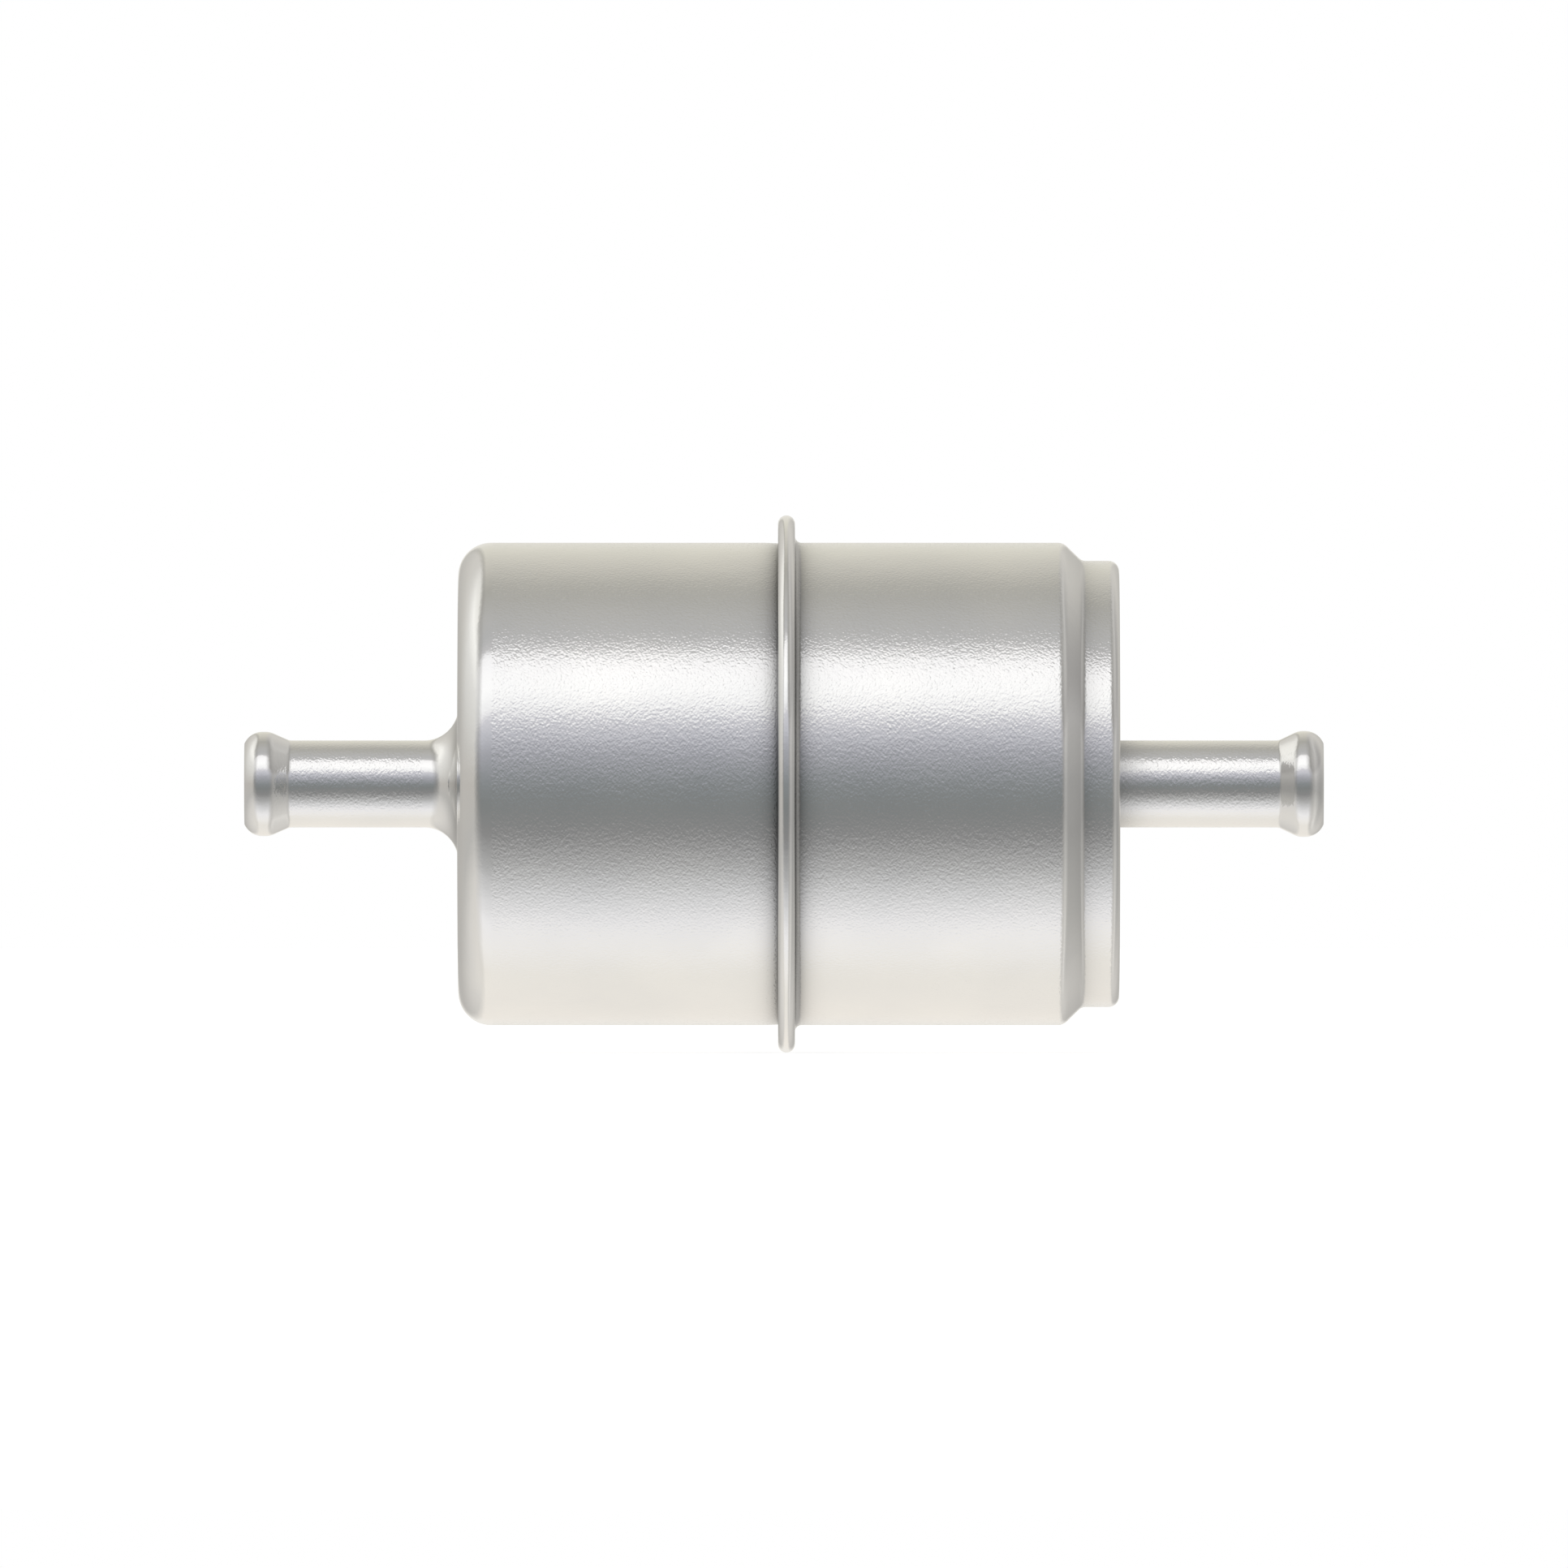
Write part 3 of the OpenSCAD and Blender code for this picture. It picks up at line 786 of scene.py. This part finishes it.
def makePaper():
    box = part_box("pleated_paper")
    outerX = box[1].z - paper["thickness"] / 2 - paper["outerFold"]
    bm = bmesh.new()
    verts = [bm.verts.new((box[0].x, p.y, p.x)) for p in halfPleat(outerX)]
    edges = [bm.edges.new(pair) for pair in zip(verts, verts[1:])]
    length = (box[1].x - box[0].x) / paper["steps"]
    for k in range(paper["steps"]):
        verts, edges = growEdges(bm, edges)
        bmesh.ops.translate(bm, verts=verts, vec=(length, 0, 0))
    bmesh.ops.mirror(bm, geom=bm.verts[:] + bm.edges[:] + bm.faces[:], axis="Y", merge_dist=1e-6)
    more = paper["pleats"] - 1
    bmesh.ops.spin(
        bm, geom=bm.verts[:] + bm.edges[:] + bm.faces[:], cent=(0, 0, 0), axis=(1, 0, 0),
        angle=math.tau * more / paper["pleats"], steps=more, use_duplicate=True)
    mat, tree, shader = grainMaterial("filterPaper", paper)
    fibres = noiseOn(tree, placeOn(tree), paper["fibreScale"], 6, 0.7)
    normal = bumpOn(tree, fibres, paper["fibreDepth"], after=shader.inputs["Normal"].links[0].from_socket)
    tree.links.new(normal, shader.inputs["Normal"])
    piece = finishPiece("pleatedPaper", bm, mat, "element", ["pleated_paper"], sharpAngle=60)
    thicken(piece, paper["thickness"])
    return piece


clip = {
    "sheet": 0.25 * mm,
    "fold": 0.8 * mm,
}


def makeClip():
    # a U over the paper's top fold
    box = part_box("paper_seam_clip")
    foldAt = box[1].z - clip["sheet"] - clip["fold"]
    foot = box[0].z
    middle = clip["fold"] + clip["sheet"] / 2
    line = [Vector((middle, foot))] + arc((0, foldAt), middle, 0, 180, 24) + [Vector((-middle, foot))]
    bm = bmesh.new()
    verts = [bm.verts.new((box[0].x, p.x, p.y)) for p in line]
    edges = [bm.edges.new(pair) for pair in zip(verts, verts[1:])]
    verts = growEdges(bm, edges)[0]
    bmesh.ops.translate(bm, verts=verts, vec=(box[1].x - box[0].x, 0, 0))
    piece = finishPiece("seamClip", bm, stampedTinMetal, "element", ["paper_seam_clip"])
    thicken(piece, clip["sheet"])
    return piece


gasket = {
    "width": 4.2 * mm,
    "edge": 0.15 * mm,
    "dark": (0.012, 0.012, 0.012), "light": (0.035, 0.034, 0.033), "patchScale": 250, "grainScale": 3200,
    "roughness": (0.5, 0.75), "depth": 0.012 * mm, "metallic": 0,
}


def makeGasket():
    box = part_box("outlet_gasket")
    section = cutRing(box[0].x, box[1].x, box[1].z - gasket["width"], box[1].z, gasket["edge"])
    mat = grainMaterial("gasketRubber", gasket)[0]
    bm = spinSection(section)
    return finishPiece("outletGasket", bm, mat, "element", ["outlet_gasket"])


pottingMat = grainMaterial("plastisol", plastisol)[0]
inletCap = makeInletCap()
outletCap = makeOutletCap()
perforatedCore = makeCore()
inletPotting = makePotting("inletPotting", "inlet_potting", pottingMat)
outletPotting = makePotting("outletPotting", "outlet_potting", pottingMat)
pleatedPaper = makePaper()
seamClip = makeClip()
outletGasket = makeGasket()
print("cartridge made")


# studio

studio = {
    # Past about 1700 they lose the part beyond the clip end.
    "lens": 1200,
    "sensor": 36,
    "frameWidth": 143 * mm,
    "floorHalf": 3,
    "floorGlow": 0.82,
    "floorTone": 0.4,
    # light that comes in along each direction round the can's axis: degrees up from the camera
    "surround": [
        (-180, (0.84, 0.82, 0.77)),
        (-164, (0.92, 0.89, 0.84)),
        (-152, (0.93, 0.885, 0.82)),
        (-120, (0.91, 0.875, 0.82)),
        (-104, (0.90, 0.87, 0.815)),
        (-88, (0.95, 0.93, 0.905)),
        (-72, (0.935, 0.925, 0.935)),
        (-56, (0.72, 0.72, 0.73)),
        (-40, (0.455, 0.455, 0.455)),
        (-24, (0.27, 0.27, 0.27)),
        (-10, (0.23, 0.243, 0.243)),
        (0, (0.259, 0.277, 0.287)),
        (16, (0.42, 0.425, 0.465)),
        (24, (0.58, 0.585, 0.635)),
        (31, (0.69, 0.685, 0.73)),
        (34, (0.92, 0.915, 0.935)),
        (38, (1.02, 1.02, 1.03)),
        (46, (1.14, 1.14, 1.14)),
        (57, (1.12, 1.11, 1.12)),
        (65, (1.02, 1.01, 1.02)),
        (68, (0.58, 0.57, 0.575)),
        (76, (0.505, 0.505, 0.505)),
        (84, (0.505, 0.50, 0.49)),
        (106, (0.445, 0.435, 0.40)),
        (128, (0.625, 0.605, 0.545)),
        (152, (0.75, 0.73, 0.645)),
        (180, (0.84, 0.82, 0.77)),
    ],
    # light from the two sides, from straight down to straight up
    "leftSide": [
        (-1.0, (0.84, 0.81, 0.76)),
        (-0.6, (0.72, 0.70, 0.67)),
        (-0.3, (0.53, 0.52, 0.50)),
        (0.0, (0.54, 0.52, 0.49)),
        (0.3, (0.72, 0.71, 0.68)),
        (0.55, (0.84, 0.83, 0.80)),
        (0.75, (1.06, 1.05, 1.01)),
        (1.0, (0.72, 0.70, 0.65)),
    ],
    "rightSide": [
        (-1.0, (0.74, 0.72, 0.69)),
        (-0.6, (0.53, 0.52, 0.50)),
        (-0.2, (0.38, 0.375, 0.365)),
        (0.0, (0.40, 0.395, 0.385)),
        (0.28, (0.50, 0.49, 0.48)),
        (0.42, (0.42, 0.41, 0.40)),
        (1.0, (0.54, 0.53, 0.51)),
    ],
    "behindSide": [
        (-1.0, (0.80, 0.78, 0.74)),
        (-0.5, (0.66, 0.64, 0.61)),
        (-0.2, (0.52, 0.505, 0.48)),
        (0.0, (0.49, 0.475, 0.45)),
        (0.2, (0.57, 0.555, 0.52)),
        (0.5, (0.67, 0.65, 0.61)),
        (1.0, (0.68, 0.66, 0.62)),
    ],
    # how far towards the back, the right and the top each of these sets in
    "behindStart": (0.2, 0.85),
    "rightStart": (-0.05, 0.05),
    "highStart": (0.35, 0.6),
    # the sides take up more of what lies behind the can than of what lies before it
    "behindSpread": 2,
    "beforeSpread": 0.5,
    # how much of that light there is from the left, through the front, to the right
    "sideShare": [(-1.0, 1), (-0.62, 1), (-0.3, 0), (0.18, 0), (0.45, 1), (1.0, 1)],
    "sideGain": [(-1.0, 1), (-0.62, 1), (-0.42, 0.8), (0.3, 0.74), (0.68, 1.2), (1.0, 0.97)],
    # the top light ends sooner on the right, and a flag shades it along its left edge
    "topLightEnd": 0.14,
    "flag": [(-0.6, 1), (-0.43, 0.75), (-0.28, 1)],
    "flagStart": (-0.3, 0.1),
}


def signedRamp(tree, value, stops):
    # stops run from -1 to 1, each with a colour or a grey
    shown = []
    for place, tone in stops:
        colour = tone if isinstance(tone, tuple) else (tone, tone, tone)
        shown.append(((place + 1) / 2, colour))
    return rampOn(tree, rangeOn(tree, value, 0, 1, -1, 1), shown)


def makeWorld():
    world = bpy.data.worlds.new("studioSurround")
    bpy.context.scene.world = world
    world.use_nodes = True
    tree = world.node_tree
    tree.nodes.clear()
    coords = addNode(tree, "ShaderNodeTexCoord")
    x, y, z = axesOn(tree, coords.outputs["Generated"])
    rise = mathOn(tree, "ARCTAN2", z, mathOn(tree, "MULTIPLY", y, -1))
    stops = [(degrees / 180, colour) for degrees, colour in studio["surround"]]
    around = signedRamp(tree, mathOn(tree, "DIVIDE", rise, math.pi), stops)
    spreads = [mathOn(tree, "MULTIPLY_ADD", y, studio[side], 1) for side in ("beforeSpread", "behindSpread")]
    across = mathOn(tree, "MULTIPLY", x, mathOn(tree, "MAXIMUM", *spreads))
    isRight = rangeOn(tree, x, 0, 1, *studio["rightStart"])
    sides = mixOn(
        tree, isRight, signedRamp(tree, z, studio["leftSide"]), signedRamp(tree, z, studio["rightSide"]))
    sides = mixOn(tree, 1, sides, signedRamp(tree, across, studio["sideGain"]), "MULTIPLY")
    isBehind = rangeOn(tree, y, 0, 1, *studio["behindStart"], "SMOOTHSTEP")
    sides = mixOn(tree, isBehind, sides, signedRamp(tree, z, studio["behindSide"]))
    sooner = rangeOn(tree, z, 0, studio["topLightEnd"], *studio["highStart"], "SMOOTHSTEP")
    shifted = mathOn(tree, "ADD", across, mathOn(tree, "MULTIPLY", sooner, isRight))
    share = signedRamp(tree, shifted, studio["sideShare"])
    sided = mixOn(tree, share, around, sides)
    shaded = mixOn(tree, 1, sided, signedRamp(tree, across, studio["flag"]), "MULTIPLY")
    sided = mixOn(tree, rangeOn(tree, z, 0, 1, *studio["flagStart"]), sided, shaded)
    lightPath = addNode(tree, "ShaderNodeLightPath")
    shown = mixOn(tree, lightPath.outputs["Is Camera Ray"], sided, (1.0, 1.0, 1.0))
    background = addNode(tree, "ShaderNodeBackground")
    output = addNode(tree, "ShaderNodeOutputWorld")
    tree.links.new(shown, background.inputs["Color"])
    tree.links.new(background.outputs[0], output.inputs[0])


def makeFloor():
    bm = bmesh.new()
    bmesh.ops.create_grid(bm, x_segments=1, y_segments=1, size=studio["floorHalf"])
    bmesh.ops.translate(bm, verts=bm.verts, vec=(0, 0, cadBounds[0].z))
    mesh = bpy.data.meshes.new("studioFloor")
    bm.to_mesh(mesh)
    bm.free()
    mat = bpy.data.materials.new("paleFloor")
    mat.use_nodes = True
    tree = mat.node_tree
    tree.nodes.clear()
    glow = addNode(tree, "ShaderNodeEmission", Color=(1, 1, 1, 1), Strength=studio["floorGlow"])
    tone = studio["floorTone"]
    lit = addNode(tree, "ShaderNodeBsdfDiffuse", Color=(tone, tone, tone, 1))
    both = addNode(tree, "ShaderNodeAddShader")
    output = addNode(tree, "ShaderNodeOutputMaterial")
    tree.links.new(glow.outputs[0], both.inputs[0])
    tree.links.new(lit.outputs[0], both.inputs[1])
    tree.links.new(both.outputs[0], output.inputs["Surface"])
    mesh.materials.append(mat)
    floor = bpy.data.objects.new("studioFloor", mesh)
    floor.visible_glossy = False
    bpy.context.scene.collection.objects.link(floor)


def makeCamera():
    lens = bpy.data.cameras.new("camera")
    lens.lens = studio["lens"]
    lens.sensor_width = studio["sensor"]
    camera = bpy.data.objects.new("camera", lens)
    bpy.context.scene.collection.objects.link(camera)
    centre = (cadBounds[0] + cadBounds[1]) / 2
    away = studio["frameWidth"] * studio["lens"] / studio["sensor"]
    camera.location = centre + Vector((0, -away, 0))
    camera.rotation_euler = (math.pi / 2, 0, 0)
    bpy.context.scene.camera = camera


makeWorld()
makeFloor()
makeCamera()
bpy.context.scene.view_settings.view_transform = "Standard"
print("studio made")
